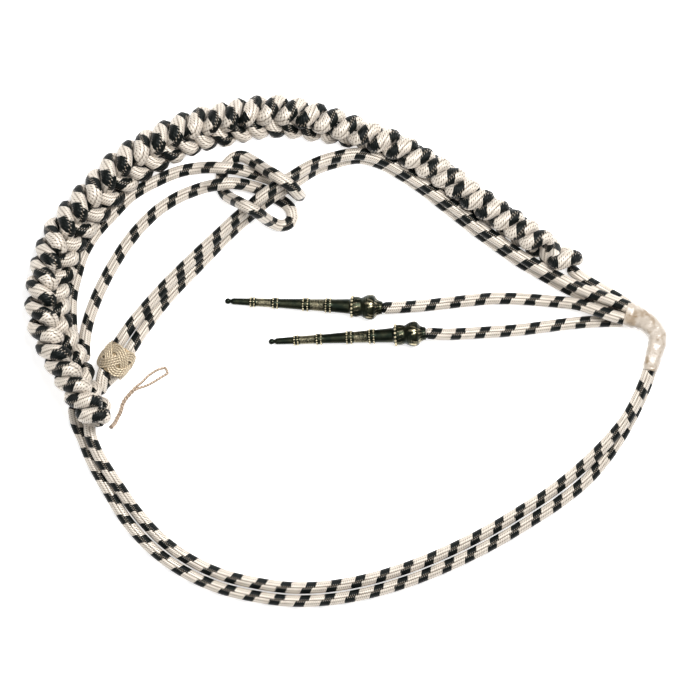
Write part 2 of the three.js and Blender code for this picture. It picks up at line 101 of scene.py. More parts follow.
# Doubled cords: x, y, level, turn of the pair.
LOOP_ROUTE = [
    (-134.0, -27.0, 0, 0), (-132.6, -35.8, 0, 13), (-131.6, -39.6, 0, 34), (-130.4, -43.8, 0, 52),
    (-126.3, -53.9, 0, 50), (-117.2, -69.4, 0, 34), (-107.3, -84.3, 0, 8), (-94.8, -97.7, 0, 0),
    (-80.0, -108.3, 0, 0), (-63.5, -115.8, 0, 0), (-45.9, -120.1, 0, 0), (-28.0, -122.4, 0, 0),
    (-10.1, -121.8, 0, 0), (7.6, -118.9, 0, 0), (24.9, -114.2, 0, 0), (41.6, -108.1, 0, 0),
    (57.9, -100.8, 0, 0), (73.9, -92.5, 0, 0), (89.3, -83.2, 0, 0), (104.4, -73.3, 0, 0),
    (118.4, -61.9, 0, 14), (130.6, -48.6, 0, 50), (141.0, -33.8, 0, 75), (148.7, -17.5, 0, 80),
    (151.7, -8.3, 0, 82),
]
RETURN_ROUTE = [
    (-122.8, -18.1, 0, 84), (-122.2, -16.5, 0.15, 75), (-120.6, -13.5, 0.43, 52),
    (-118.3, -9.7, 0.6, 27), (-115.6, -5.3, 0.72, 12), (-113.0, -1.1, 0.83, 0), (-110.3, 3.3, 0.83, 0),
    (-105.1, 11.0, 0.4, 18), (-101.0, 16.2, 0.1, 28), (-97.7, 20.5, 0, 36), (-89.9, 29.5, 0, 43),
    (-81.7, 38.0, 0, 47), (-73.2, 46.4, 0, 51), (-64.8, 54.7, 0, 59), (-56.3, 62.8, 0.1, 62),
    (-50.5, 67.8, 0.25, 62), (-47.6, 70.2, 0.42, 62), (-44.3, 73.2, 0.82, 62), (-41.2, 75.7, 1.02, 62),
    (-37.8, 78.2, 1.05, 62), (-34.5, 80.3, 1.05, 62), (-31.5, 82.2, 1.05, 62), (-28.0, 84.4, 1.02, 63),
    (-24.5, 86.6, 0.75, 64), (-20.5, 89.2, 0.4, 66), (-14.0, 92.4, 0.05, 68), (-6.6, 94.7, 0, 68),
    (5.4, 96.8, 0, 73), (17.3, 93.9, 0, 73), (28.0, 88.1, 0, 73), (38.2, 81.3, 0, 73),
    (47.7, 74.2, 0, 68), (57.3, 66.7, 0, 68), (66.6, 59.4, 0, 68), (76.5, 52.3, 0, 68),
    (86.2, 45.5, 0, 68), (96.9, 39.2, 0, 68), (107.2, 33.5, 0, 68), (118.0, 28.3, 0.15, 66),
    (130.0, 23.7, 0.6, 62), (142.0, 18.9, 0.87, 60),
]
# Single cords: x, y, level.
KNOT_ROUTE = [
    (-135.5, -7.5, 0), (-137.0, 0.0, 0), (-138.0, 12.0, 0), (-138.0, 25.0, 0), (-136.0, 35.0, 0),
    (-132.0, 48.0, 0), (-126.0, 58.0, 0), (-117.0, 68.0, 0), (-108.0, 77.0, 0), (-96.0, 84.0, 0),
    (-84.0, 89.0, 0), (-74.0, 90.8, 0.15), (-67.5, 91.1, 0.7), (-61.5, 90.8, 1.02), (-56.0, 90.3, 0.8),
    (-49.5, 88.6, 0.15), (-43.8, 86.9, 0), (-38.0, 84.9, 0), (-32.0, 82.3, 0), (-27.5, 79.8, 0.03),
    (-24.5, 77.3, 0.5), (-23.9, 77.3, 1.5), (-25.5, 78.7, 2.4), (-28.0, 81.5, 2.9), (-32.0, 84.5, 3.05),
    (-36.2, 87.2, 2.7), (-40.5, 89.7, 1.75), (-44.5, 92.3, 1.0), (-48.5, 94.8, 0.45),
    (-52.5, 96.5, 0.1), (-56.2, 96.0, 0), (-59.2, 93.6, 0), (-62.2, 89.5, 0), (-63.0, 85.5, 0),
    (-62.6, 81.0, 0), (-61.2, 77.8, 0.2), (-58.2, 75.5, 0.85), (-55.0, 73.9, 1.66), (-51.8, 72.2, 2.46),
    (-47.6, 69.9, 2.62), (-44.8, 68.2, 2.3), (-42.0, 66.2, 1.5), (-38.3, 63.8, 0.5),
    (-34.3, 62.1, 0.08), (-30.3, 62.5, 0), (-27.9, 64.8, 0), (-27.6, 67.3, 0), (-28.5, 70.2, 0),
    (-31.0, 72.9, 0), (-34.5, 75.2, 0), (-38.5, 77.6, 0), (-43.0, 79.9, 0), (-48.5, 81.6, 0.1),
    (-54.0, 82.8, 0.6), (-60.0, 83.2, 1.02), (-66.3, 82.2, 0.8), (-72.2, 80.9, 0.15), (-83.4, 76.7, 0),
    (-93.7, 70.4, 0), (-102.5, 62.3, 0), (-110.1, 53.1, 0), (-116.6, 43.1, 0), (-122.3, 32.6, 0),
    (-127.1, 21.5, 0), (-130.5, 10.1, 0), (-131.5, 1.0, 0), (-131.3, -6.5, 0),
]
UPPER_TIP_CORD_ROUTE = [
    (18.6, 20.8, 0.55), (26.0, 21.1, 0.35), (36.0, 21.8, 0.1), (46.0, 22.8, 0), (60.0, 24.4, 0),
    (72.5, 25.5, 0), (84.0, 25.4, 0), (95.0, 24.7, 0), (104.0, 23.9, 0.1), (115.0, 22.6, 0.75),
    (128.0, 18.4, 1.5), (140.8, 14.4, 1.78),
]
LOWER_TIP_CORD_ROUTE = [
    (40.4, 8.1, 0.55), (47.0, 7.7, 0.35), (55.0, 7.8, 0.1), (63.6, 8.3, 0), (75.6, 9.0, 0),
    (87.5, 10.0, 0), (99.4, 11.5, 0), (111.3, 13.0, 0), (124.0, 14.0, 0), (140.8, 14.3, 0),
]
PLAIT_TAIL_ROUTE = [
    (114.6, 37.7, 0), (121.0, 33.4, 0), (128.5, 29.2, 0), (135.5, 25.2, 0), (142.5, 20.7, 0),
]
# The button loop: x, y, height.
BUTTON_LOOP_ROUTE = [
    (-118.2, -38.9, 11.5), (-117.6, -38.2, 8.0), (-116.2, -36.6, 3.8), (-115.2, -34.4, 1.2),
    (-113.5, -31.3, 0.1), (-112.0, -26.5, 0), (-109.5, -23.0, 0), (-106.0, -19.5, 0),
    (-101.5, -17.0, 0), (-98.0, -14.5, 0), (-94.0, -12.0, 0), (-90.5, -10.5, 0),
]
# The tips, from the point: share of the length, share of the bulb's radius.
TIP_PROFILE = [
    (0, 0.1), (0.008, 0.22), (0.016, 0.28), (0.028, 0.22), (0.038, 0.17), (0.05, 0.27), (0.155, 0.31),
    (0.17, 0.4), (0.19, 0.38), (0.2, 0.34), (0.3, 0.37), (0.31, 0.44), (0.335, 0.43), (0.345, 0.38),
    (0.49, 0.46), (0.505, 0.52), (0.53, 0.51), (0.54, 0.46), (0.63, 0.51), (0.65, 0.58), (0.67, 0.57),
    (0.68, 0.53), (0.795, 0.61), (0.8, 0.8), (0.84, 0.82), (0.865, 0.73), (0.925, 1), (0.965, 0.64),
    (1, 0.5),
]
# The tape: x, y, heading, width, height in cords.
TAPE_SECTIONS = [
    (142.3, 17.2, -15, 13.2, 2.74), (146.0, 15.8, -20, 11.2, 2.5), (149.5, 13.8, -35, 10.4, 2.25),
    (153.5, 10.2, -52, 9.8, 2.1), (155.3, 6.0, -75, 9.9, 2.0), (154.6, 1.5, -98, 9.4, 2.0),
    (153.0, -3.5, -105, 8.8, 2.02), (151.9, -7.9, -104, 8.4, 2.05),
]
SLIDE_PLACE = [-115.6, -5.3]

# Weave: lengthwise ribs, wales on each rib, and dark dashes that climb from rib to rib.
RIBS = 4
WALES = 3
DASH_PERIOD = 12.6
DASH_LENGTH = 5.2
DASH_EDGE = 0.16
STITCH = 1.0
# Depth of the grooves between the ribs, as a share of the radius.
RIB_DEPTH = 0.035
CORD_SIDES = 28
CORD_STEP = 1.3
# Extra rings near a cord's ends, in shares of a step, and the share of a dome left open at its end.
END_STEPS = (0.25, 0.6)
END_OPEN = 0.03
# The least height of the plump strands and the button loop's thread.
LOWEST = 0.05

UP = np.array([0.0, 0.0, 1.0])
TURN = 2 * math.pi


def unit(v):
    return v / np.linalg.norm(v, axis=-1, keepdims=True)


# Lines

def spline(points, samples=60):
    """Centripetal Catmull-Rom line, and each sample's place counted in points."""
    p = np.array(points, float)
    p = np.vstack([2 * p[0] - p[1], p, 2 * p[-1] - p[-2]])
    line, places = [], []
    t = np.linspace(0, 1, samples, endpoint=False)[:, None]
    for i in range(1, len(p) - 2):
        a, b, c, d = p[i - 1], p[i], p[i + 1], p[i + 2]
        ta, tb, tc = (max(np.linalg.norm(q) ** 0.5, 1e-4) for q in (b - a, c - b, d - c))
        m = ((b - a) / ta - (c - a) / (ta + tb) + (c - b) / tb) * tb
        n = ((c - b) / tb - (d - b) / (tb + tc) + (d - c) / tc) * tb
        line.append(b + m * t + (3 * (c - b) - 2 * m - n) * t ** 2 + (2 * (b - c) + m + n) * t ** 3)
        places.append(t[:, 0] + i - 1)
    line.append(p[-2][None])
    places.append([len(p) - 3.0])
    return np.vstack(line), np.concatenate(places)


def lengths(line):
    return np.concatenate([[0], np.cumsum(np.linalg.norm(np.diff(line, axis=0), axis=1))])


def at_lengths(line, s, wanted):
    return np.stack([np.interp(wanted, s, line[:, i]) for i in range(line.shape[1])], axis=1)


def even(line, step):
    s = lengths(line)
    return at_lengths(line, s, np.linspace(0, s[-1], max(2, int(round(s[-1] / step)) + 1)))


def carried_frames(line):
    """Side and top vectors carried along the line without twist, from a level side."""
    along = unit(np.gradient(line, axis=0))
    side = unit(np.cross(UP, along[0]))
    sides = []
    for t in along:
        side = unit(side - t * np.dot(side, t))
        sides.append(side)
    sides = np.array(sides)
    return sides, np.cross(along, sides)


def level_points(rows):
    return [(x, y, RADIUS + level * LAYER) for x, y, level in rows]


def pair_points(rows, hand):
    """Points of one cord of a pair: hand is 1 for the left one and -1 for the right one."""
    out = []
    for i, (x, y, level, turn) in enumerate(rows):
        before, after = rows[max(i - 1, 0)], rows[min(i + 1, len(rows) - 1)]
        heading = math.atan2(after[1] - before[1], after[0] - before[0])
        angle = math.radians(turn)
        across = hand * LAYER * math.cos(angle) / 2
        run = math.hypot(after[0] - before[0], after[1] - before[1])
        steepness = math.hypot(1, (after[2] - before[2]) * LAYER / run)
        rise = (hand + 1) * LAYER * math.sin(angle) * steepness / 2
        out.append((x - across * math.sin(heading), y + across * math.cos(heading),
                    RADIUS + level * LAYER + rise))
    return out


# Meshes

def add_object(name, mesh, material):
    piece = bpy.data.objects.new(name, mesh)
    bpy.context.scene.collection.objects.link(piece)
    mesh.materials.append(material)
    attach(piece, "root")
    return piece


def rings_mesh(name, rings, around, along, capped=True, closed=False):
    """Skin over rings of points in millimetres, with the weave's own coordinates.
    around is the map's value for one whole turn, along the value at each ring."""
    count, sides = rings.shape[:2]
    corners = (rings.reshape(-1, 3) + SHIFT) * MM
    i = np.arange(count if closed else count - 1)[:, None]
    j = np.arange(sides)[None, :]
    k = (i + 1) % count
    quads = np.stack([i * sides + j, i * sides + (j + 1) % sides,
                      k * sides + (j + 1) % sides, k * sides + j], axis=-1).reshape(-1, 4)
    faces = quads.tolist()
    if capped and not closed:
        faces.append(list(range(sides))[::-1])
        faces.append(list(range((count - 1) * sides, count * sides)))
    mesh = bpy.data.meshes.new(name)
    mesh.from_pydata(corners.tolist(), [], faces)
    u0 = np.broadcast_to(j / sides * around, (len(i), sides))
    u1 = np.broadcast_to((j + 1) / sides * around, (len(i), sides))
    ends = np.append(along, along[-1] + (along[1] - along[0])) if closed else along
    v0 = np.broadcast_to(ends[i], (len(i), sides))
    v1 = np.broadcast_to(ends[i + 1], (len(i), sides))
    uv = np.stack([u0, v0, u1, v0, u1, v1, u0, v1], axis=-1).reshape(-1, 2)
    caps = np.zeros((sum(len(f) for f in faces[len(quads):]), 2))
    layer = mesh.uv_layers.new(name="weave")
    layer.data.foreach_set("uv", np.vstack([uv, caps]).astype(np.float32).ravel())
    mesh.polygons.foreach_set("use_smooth", [True] * len(faces))
    mesh.validate()
    return mesh


def rounded_ends(line, radius):
    """Share of the full width that each ring has, so that the line's ends are domes."""
    s = lengths(line)
    near = np.minimum(s, s[-1] - s) / radius
    return np.sqrt(1 - (1 - np.clip(near, END_OPEN, 1)) ** 2)[:, None, None]


def with_end_points(line):
    """The line with close points next to its two ends."""
    first = [line[0] + (line[1] - line[0]) * k for k in END_STEPS]
    last = [line[-1] + (line[-2] - line[-1]) * k for k in END_STEPS[::-1]]
    return np.vstack([line[:1], first, line[1:-1], last, line[-1:]])


def swept(line, side, top, outline):
    """Rings of an outline along a line. The outline's columns are offsets along side and top."""
    outline = np.broadcast_to(outline, (len(line),) + outline.shape[-2:])
    return line[:, None] + outline[..., :1] * side[:, None] + outline[..., 1:] * top[:, None]


def turns(count):
    """Angles spaced evenly round one turn."""
    return np.arange(count) * TURN / count


def circle(radius, sides):
    return radius * np.stack([np.cos(turns(sides)), np.sin(turns(sides))], axis=1)


def ribbed_outline():
    groove = (1 - np.abs(np.sin(turns(CORD_SIDES) * RIBS / 2))) ** 2
    return circle(RADIUS, CORD_SIDES) * (1 - RIB_DEPTH * groove)[:, None]


def cord(node, points, material, start=0.0):
    """A braided cord in place of a node. start shifts its dashes along it."""
    line = with_end_points(even(spline(points)[0], CORD_STEP))
    side, top = carried_frames(line)
    s = lengths(line)
    rings = swept(line, side, top, ribbed_outline() * rounded_ends(line, RADIUS))
    piece = add_object(node + "_braid", rings_mesh(node, rings, RIBS, s + start), material)
    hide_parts(node)


# Shader building

def linear(colour):
    """Colour of a picture, 0 to 255, as the shader's own linear values."""
    share = np.array(colour, float) / 255
    low = share <= 0.04045
    return tuple(np.where(low, share / 12.92, ((share + 0.055) / 1.055) ** 2.4)) + (1.0,)


class Field:
    """A value that varies over a surface. Plain arithmetic on it adds shader nodes."""

    def __init__(self, tree, socket):
        self.tree, self.socket = tree, socket

    def made(self, operation, *others):
        node = self.tree.nodes.new("ShaderNodeMath")
        node.operation = operation
        for place, value in zip(node.inputs, (self,) + others):
            wire(self.tree, value, place)
        return Field(self.tree, node.outputs[0])

    def __add__(self, other):
        return self.made("ADD", other)

    def __sub__(self, other):
        return self.made("SUBTRACT", other)

    def __mul__(self, other):
        return self.made("MULTIPLY", other)

    def __truediv__(self, other):
        return self.made("DIVIDE", other)

    def floor(self):
        return self.made("FLOOR")

    def fract(self):
        return self.made("FRACT")

    def abs(self):
        return self.made("ABSOLUTE")

    def step(self, low, high):
        """0 at low and 1 at high, smooth between; low may be above high."""
        node = self.tree.nodes.new("ShaderNodeMapRange")
        node.interpolation_type = "SMOOTHSTEP"
        flip = low > high
        values = (self, min(low, high), max(low, high), int(flip), int(not flip))
        for place, value in zip(node.inputs, values):
            wire(self.tree, value, place)
        return Field(self.tree, node.outputs[0])


def wire(tree, value, socket):
    if isinstance(value, Field):
        tree.links.new(value.socket, socket)
    else:
        socket.default_value = value


class Shader:
    """A material whose fields come from the mesh's map, an attribute of it and noise."""

    def __init__(self, name, **settings):
        self.material = bpy.data.materials.new(name)
        self.material.use_nodes = True
        self.tree = self.material.node_tree
        self.surface = self.tree.nodes["Principled BSDF"]
        for key, value in settings.items():
            self.surface.inputs[key.replace("_", " ").title()].default_value = value

    def map(self):
        node = self.tree.nodes.new("ShaderNodeUVMap")
        node.uv_map = "weave"
        split = self.tree.nodes.new("ShaderNodeSeparateXYZ")
        self.tree.links.new(node.outputs[0], split.inputs[0])
        return Field(self.tree, split.outputs[0]), Field(self.tree, split.outputs[1])

    def place(self):
        node = self.tree.nodes.new("ShaderNodeTexCoord")
        return Field(self.tree, node.outputs["Object"])

    def attribute(self, name):
        node = self.tree.nodes.new("ShaderNodeAttribute")
        node.attribute_name = name
        return Field(self.tree, node.outputs["Fac"])

    def noise(self, size, detail=2.0, roughness=0.5):
        """Noise whose patches are about size millimetres across."""
        node = self.tree.nodes.new("ShaderNodeTexNoise")
        wire(self.tree, self.place(), node.inputs["Vector"])
        wire(self.tree, 1 / MM / size, node.inputs["Scale"])
        wire(self.tree, detail, node.inputs["Detail"])
        wire(self.tree, roughness, node.inputs["Roughness"])
        return Field(self.tree, node.outputs[0])

    def mix(self, share, first, second):
        node = self.tree.nodes.new("ShaderNodeMix")
        node.data_type = "RGBA"
        for place, value in ((0, share), (6, first), (7, second)):
            wire(self.tree, value, node.inputs[place])
        return Field(self.tree, node.outputs[2])

    def bump(self, height, depth, strength):
        """Relief of height 0 to 1 that is depth millimetres deep."""
        node = self.tree.nodes.new("ShaderNodeBump")
        node.inputs["Strength"].default_value = strength
        node.inputs["Distance"].default_value = depth * MM
        wire(self.tree, height, node.inputs["Height"])
        self.tree.links.new(node.outputs[0], self.surface.inputs["Normal"])

    def set(self, name, value):
        wire(self.tree, value, self.surface.inputs[name])


PALE = linear((216, 206, 193))
# The colour towards which painted shade darkens the braid in its grooves and between its stitches, and
# towards which its random tone varies.
PALE_SHADE_AND_TONE = linear((98, 84, 66))
DASH_DARK = linear((5, 11, 10))
# Slant across one rib: of the stitches, in stitches, and of the dashes, in millimetres.
STITCH_SLANT = 2.2
DASH_SLANT = 1.6


def cord_material(name):
    """Braid of pale thread, with dark dashes that climb from rib to rib."""
    shader = Shader(name, metallic=0.2, sheen_roughness=0.35, sheen_tint=(1, 1, 1, 1))
    u, v = shader.map()
    rib = u.floor()
    in_rib = u.fract() - 0.5
    off_middle = in_rib.abs() * 2
    # The stitches of one rib stand half a stitch on from the last rib's.
    stitch = ((v / STITCH + rib * 0.5 + in_rib * STITCH_SLANT).fract() - 0.5).abs() * 2
    wobble = (shader.noise(1.6, 1.0) - 0.5) * 0.5
    climb = DASH_PERIOD / RIBS
    run = (v + rib * climb + in_rib * DASH_SLANT + wobble + stitch * 0.5) / DASH_PERIOD
    in_dash = run.fract() * DASH_PERIOD
    # A dash fades out where a groove between ribs meets the gap between stitches.
    dash = (in_dash.step(0, DASH_EDGE) * in_dash.step(DASH_LENGTH + DASH_EDGE, DASH_LENGTH)
            * (off_middle * 1.1 + stitch * 0.9).step(1.75, 1.5))
    groove = off_middle.step(0.7, 1.0)
    wale = (((u * WALES).fract() - 0.5).abs() * 2).step(0.5, 0.95)
    thread = stitch.step(1.0, 0.35)
    uneven = shader.noise(4, 2) - 0.5
    between = thread * -1 + 1
    # Painted shade: the grooves between ribs, the lines between wales and the gaps between stitches are
    # darkened towards the shaded pale, and random tone varies it.
    shade = groove * 0.35 + wale * (between * 1.1 + 0.12) + between * 0.3 + uneven * 0.5
    shader.set("Base Color", shader.mix(dash, shader.mix(shade, PALE, PALE_SHADE_AND_TONE), DASH_DARK))
    shader.set("Roughness", dash * 0.1 + 0.36)
    shader.set("Specular IOR Level", dash * -0.4 + 0.6)
    shader.set("Sheen Weight", dash * -0.2 + 0.2)
    shader.bump(groove * -0.4 + wale * -0.2 + thread * 0.4 + 0.6, 0.4, 0.9)
    return shader.material


cord_look = cord_material("silver_braid")


# Floor, light and camera

FLOOR_REACH = 3.0
FLOOR_GAP = 0.4
FLOOR_COLOUR = (0.92, 0.92, 0.92, 1)
WHITE = (1, 1, 1, 1)
WORLD_STRENGTH = 0.2
# Name, place and size in metres, and power in watts.
LAMPS = (("key", (0.3, 0.4, 1.2), 0.6, 26), ("fill", (-0.5, -0.3, 1.2), 0.9, 4))
# The camera looks straight down from here on a square with this side.
VIEW_FROM = np.array([1.25, -0.25, 800.0])
VIEW_SIDE = 350


def stage():
    mesh = bpy.data.meshes.new("floor")
    low = cad_box[0][2] - FLOOR_GAP * MM
    signs = ((-1, -1), (1, -1), (1, 1), (-1, 1))
    corners = [(x * FLOOR_REACH, y * FLOOR_REACH, low) for x, y in signs]
    mesh.from_pydata(corners, [], [(0, 1, 2, 3)])
    floor = bpy.data.objects.new("floor", mesh)
    bpy.context.scene.collection.objects.link(floor)
    shader = Shader("white_floor", roughness=0.9, emission_strength=0.6, emission_color=WHITE)
    shader.set("Base Color", FLOOR_COLOUR)
    mesh.materials.append(shader.material)

    world = bpy.data.worlds.new("studio")
    world.use_nodes = True
    world.node_tree.nodes["Background"].inputs["Color"].default_value = WHITE
    world.node_tree.nodes["Background"].inputs["Strength"].default_value = WORLD_STRENGTH
    bpy.context.scene.world = world
    bpy.context.scene.view_settings.view_transform = "Standard"

    for name, place, size, power in LAMPS:
        light = bpy.data.lights.new(name, "AREA")
        light.size = size
        light.energy = power
        lamp = bpy.data.objects.new(name, light)
        lamp.location = place
        lamp.rotation_euler = Vector(place).to_track_quat("Z", "Y").to_euler()
        bpy.context.scene.collection.objects.link(lamp)

    view = bpy.data.cameras.new("camera")
    view.type = "ORTHO"
    view.ortho_scale = VIEW_SIDE * MM
    camera = bpy.data.objects.new("camera", view)
    camera.location = tuple((VIEW_FROM + SHIFT) * MM)
    bpy.context.scene.collection.objects.link(camera)
    bpy.context.scene.camera = camera


stage()


# Cords

# The return cords start further under the plait than the model's, at these points.
RETURN_OUTER_START = (-124.3, -22.6, 10.4)
RETURN_INNER_START = (-124.0, -22.8, 3.4)

return_outer = [RETURN_OUTER_START] + pair_points(RETURN_ROUTE, 1)
return_inner = [RETURN_INNER_START] + pair_points(RETURN_ROUTE, -1)
cord("loop_cord_outer", pair_points(LOOP_ROUTE, -1), cord_look)
cord("loop_cord_inner", pair_points(LOOP_ROUTE, 1), cord_look, start=4)
cord("return_cord_outer", return_outer, cord_look)
cord("return_cord_inner", return_inner, cord_look, start=5)
cord("knot_cord", level_points(KNOT_ROUTE), cord_look, start=2)


# Plait

# Angles tried to find how low the strands reach.
DIP_ANGLES = 72
RINGS_PER_PERIOD = 26
PHASE_STEP = 0.001
# How far a strand may run on past the route's ends, as a share of the plait's length.
OVERRUN = 0.02
# Shift of the dashes from one strand to the next.
DASH_SHIFT = 4
# The tail starts further inside the plait than the model's, at this place and level.
TAIL_START = (110.5, 41.5, 0.1)


def plait_strand(index, first, last, material):
    rows = np.array(PLAIT_ROUTE)
    middle, places = spline([(x, y, 0) for x, y in rows[:, :2]])
    s = lengths(middle)
    tangents = unit(np.gradient(middle, s, axis=0))
    shift = index * TURN / 3
    row_numbers = np.arange(len(rows))

    def line(phase):
        """Points of the strand's middle, and the vectors across the plait there."""
        share = np.clip((phase - shift) / (PLAIT_PERIODS * TURN), -OVERRUN, 1 + OVERRUN)
        inside = np.clip(share, 0, 1)
        place = np.interp(inside, rows[:, 5], row_numbers)
        wanted = np.interp(place, places, s)
        along = unit(at_lengths(tangents, s, wanted))
        point = at_lengths(middle, s, wanted)
        point = point + along * ((share - inside) * PLAIT_PERIODS * PLAIT_PERIOD)[:, None]
        roll, lift, bulk = (np.interp(place, row_numbers, rows[:, c]) for c in (2, 3, 4))
        roll = np.radians(roll)
        v = PLAIT_HALF_WIDTH * np.sin(phase)
        w = PLAIT_HALF_THICKNESS * bulk * np.sin(2 * phase)
        turn = turns(DIP_ANGLES)[:, None]
        dips = (PLAIT_HALF_WIDTH * np.sin(turn) * np.sin(roll)
                + PLAIT_HALF_THICKNESS * np.sin(2 * turn) * np.cos(roll))
        standing = PLAIT_STRAND_THICKNESS / 2 + PLAIT_FLOOR_GAP - np.minimum(dips.min(axis=0), 0)
        outward = np.cross(UP, along)
        point = point + outward * (v * np.cos(roll) - w * np.sin(roll))[:, None]
        point[:, 2] = PLAIT_LIFT * lift + standing + v * np.sin(roll) + w * np.cos(roll)
        return point, outward * np.cos(roll)[:, None] + UP * np.sin(roll)[:, None]

    count = int(round((last - first) / TURN * RINGS_PER_PERIOD))
    phase = np.linspace(first, last, count + 1)
    point, edge = line(phase)
    tangent = unit(line(phase + PHASE_STEP)[0] - line(phase - PHASE_STEP)[0])
    flat = unit(np.cross(tangent, edge))
    rim = np.cross(flat, tangent)
    turn = math.pi / 2 * (1 - np.cos(phase))[:, None]
    thin = flat * np.cos(turn) + rim * np.sin(turn)
    wide = np.cross(tangent, thin)
    angle = turns(CORD_SIDES)
    outline = np.stack([PLUMP_THICKNESS / 2 * np.sin(angle), PLUMP_WIDTH / 2 * np.cos(angle)], axis=1)
    rings = swept(point, thin, wide, outline[::-1] * rounded_ends(point, PLUMP_THICKNESS / 2))
    rings[..., 2] = np.maximum(rings[..., 2], LOWEST)
    name = f"plait_strand_{index + 1}"
    mesh = rings_mesh(name, rings, RIBS, lengths(point) + DASH_SHIFT * index)
    piece = add_object(name + "_braid", mesh, material)
    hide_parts(name)


def plait(material):
    """Three strands, a third of a turn apart. Each starts and ends low in the plait."""
    under = -math.pi / 4
    starts = (under + math.pi / 3, under + math.pi * 4 / 3, under + math.pi * 5 / 3)
    ends = (-math.pi * 5 / 6, math.pi / 6, -math.pi)
    whole = under + TURN * PLAIT_PERIODS + math.pi
    for index, (start, end) in enumerate(zip(starts, ends)):
        plait_strand(index, start, whole + end, material)


plait(cord_look)
cord("plait_tail", level_points([TAIL_START] + PLAIT_TAIL_ROUTE), cord_look)


# Metal tips

# Rows of the profile for the ball at the point and for the widest place of the bulb.
BALL_ROW = 2
BULB_ROW = 26
BULB_ROUNDING = [(0.88, 0.84), (0.895, 0.93), (0.91, 0.985), (0.94, 0.98), (0.952, 0.88), (0.98, 0.56)]
BALL_RADIUS = 1.6
# Height of the ball's middle, as a share of the bulb's radius.
BALL_HEIGHT = 0.3
# The ball ends at the first share, and the profile is smoothed from the second on.
BALL_END = 0.036
SMOOTH_START = 0.045
SMOOTHING = (0.1, 0.2, 0.4, 0.2, 0.1)
TIP_RINGS = 190
BALL_RINGS = 16
TIP_SIDES = 64
# The turned body lies this far inside the model's, and no ring is thinner than the second value.
BODY_INSET = 0.12
THINNEST = 0.05
# Relief of the flutes, in millimetres, and of the leaves, as a share of the radius.
FLUTES = 16
FLUTE_RELIEF = 0.1
FLUTE_FROM = 0.84
FLUTE_SLANT = 60
LEAF_RELIEF = 0.035
FLUTED_SHARES = ((0.815, 0.86), (0.955, 0.995))
TEXTURED_SHARES = ((0.2, 0.295), (0.54, 0.63))
RIM_SHARE = 0.79
RIM_WIDTH = 0.006
BALL_GOLD_END = 0.04
PALMETTES = 5
PALMETTE_SHARE = 0.94
PALMETTE_REACH = 3.6
PALMETTE_RIBS = 15
# Where a palmette's middle and the foot of its ribs lie, from its own place.
PALMETTE_MIDDLE = -1.2
PALMETTE_FOOT = 3.2
RING_SHARES = (0.165, 0.186, 0.307, 0.334, 0.498, 0.526, 0.642, 0.67)
COLLAR_SHARE = 0.808
COLLAR_GROWTH = 1.5
BEAD = 0.45
BEAD_PITCH = 2.8
BEAD_SINK = 0.1
BEAD_GOLD = 0.95
BEAD_RINGS = 5
BEAD_SIDES = 8
UPPER_TIP_HEADING = -2.5
LOWER_TIP_HEADING = 3
# Points in the tips' necks to which the tip cords run on.
UPPER_NECK = (16.4, 20.9, 0.55)
LOWER_NECK = (38.2, 8.0, 0.55)


def metal_material():
    shader = Shader("aged_metal", metallic=0.9)
    gold = shader.attribute("gold")
    grain = shader.noise(0.7, 3.0, 0.6)
    patch = shader.noise(5, 3.0)
    worn = (gold + (grain - 0.5) * 0.5 + (patch - 0.5) * 0.25).step(0.3, 0.75)
    dark = shader.mix(patch.step(0.35, 0.7), linear((22, 30, 22)), linear((48, 50, 36)))
    shader.set("Base Color", shader.mix(worn, dark, linear((208, 196, 162))))
    shader.set("Roughness", worn * -0.08 + 0.36)
    shader.bump(grain * 0.6 + patch * 0.4, 0.12, 0.6)
    return shader.material


def tip_axis(degrees):
    """Direction of a tip that rests on its ball and its bulb."""
    ball_share, ball_out = TIP_PROFILE[BALL_ROW]
    bulb_share, bulb_out = TIP_PROFILE[BULB_ROW]
    rise = TIP_BULB_RADIUS * (bulb_out - ball_out)
    slope = math.asin(rise / (TIP_LENGTH * (bulb_share - ball_share)))
    heading = math.radians(degrees)
    level = math.cos(slope)
    return np.array([level * math.cos(heading), level * math.sin(heading), math.sin(slope)])


def within(share, ranges):
    """1 where the share lies in one of the ranges, and 0 elsewhere."""
    return sum(((share > low) & (share < high)).astype(float) for low, high in ranges)


def palmettes(share, turn, out):
    """Height of the leaf ornaments on the bulb, 0 to 1."""
    along = (share - PALMETTE_SHARE) * TIP_LENGTH
    height = np.zeros_like(turn)
    for k in range(PALMETTES):
        away = (turn - k * TURN / PALMETTES + math.pi) % TURN - math.pi
        across = away * out
        reach = np.hypot(across, along - PALMETTE_MIDDLE) / PALMETTE_REACH
        fan = np.arctan2(across, PALMETTE_FOOT - along)
        leaf = np.clip(1.15 - reach, 0, 1) * (0.62 + 0.38 * np.cos(fan * PALMETTE_RIBS))
        height = np.maximum(height, leaf * (reach < 1.15))
    return height


def bead_at(centre, radius):
    """Corners and faces of one small round bead."""
    corners = [centre + (0, 0, -radius)]
    turn = turns(BEAD_SIDES)
    level = np.stack([np.cos(turn), np.sin(turn), np.zeros(BEAD_SIDES)], 1) * radius
    for i in range(1, BEAD_RINGS):
        polar = math.pi * i / BEAD_RINGS
        corners.extend(centre + level * math.sin(polar) + (0, 0, -radius * math.cos(polar)))
    corners.append(centre + (0, 0, radius))
    steps = [(j, (j + 1) % BEAD_SIDES) for j in range(BEAD_SIDES)]
    rows = [1 + i * BEAD_SIDES for i in range(BEAD_RINGS - 1)]
    faces = [(0, rows[0] + b, rows[0] + a) for a, b in steps]
    for row, following in zip(rows, rows[1:]):
        faces += [(row + a, row + b, following + b, following + a) for a, b in steps]
    faces += [(len(corners) - 1, rows[-1] + a, rows[-1] + b) for a, b in steps]
    return corners, faces


def set_gold(mesh, values):
    tone = mesh.attributes.new("gold", "FLOAT", "POINT")
    tone.data.foreach_set("value", values.astype(np.float32).ravel())


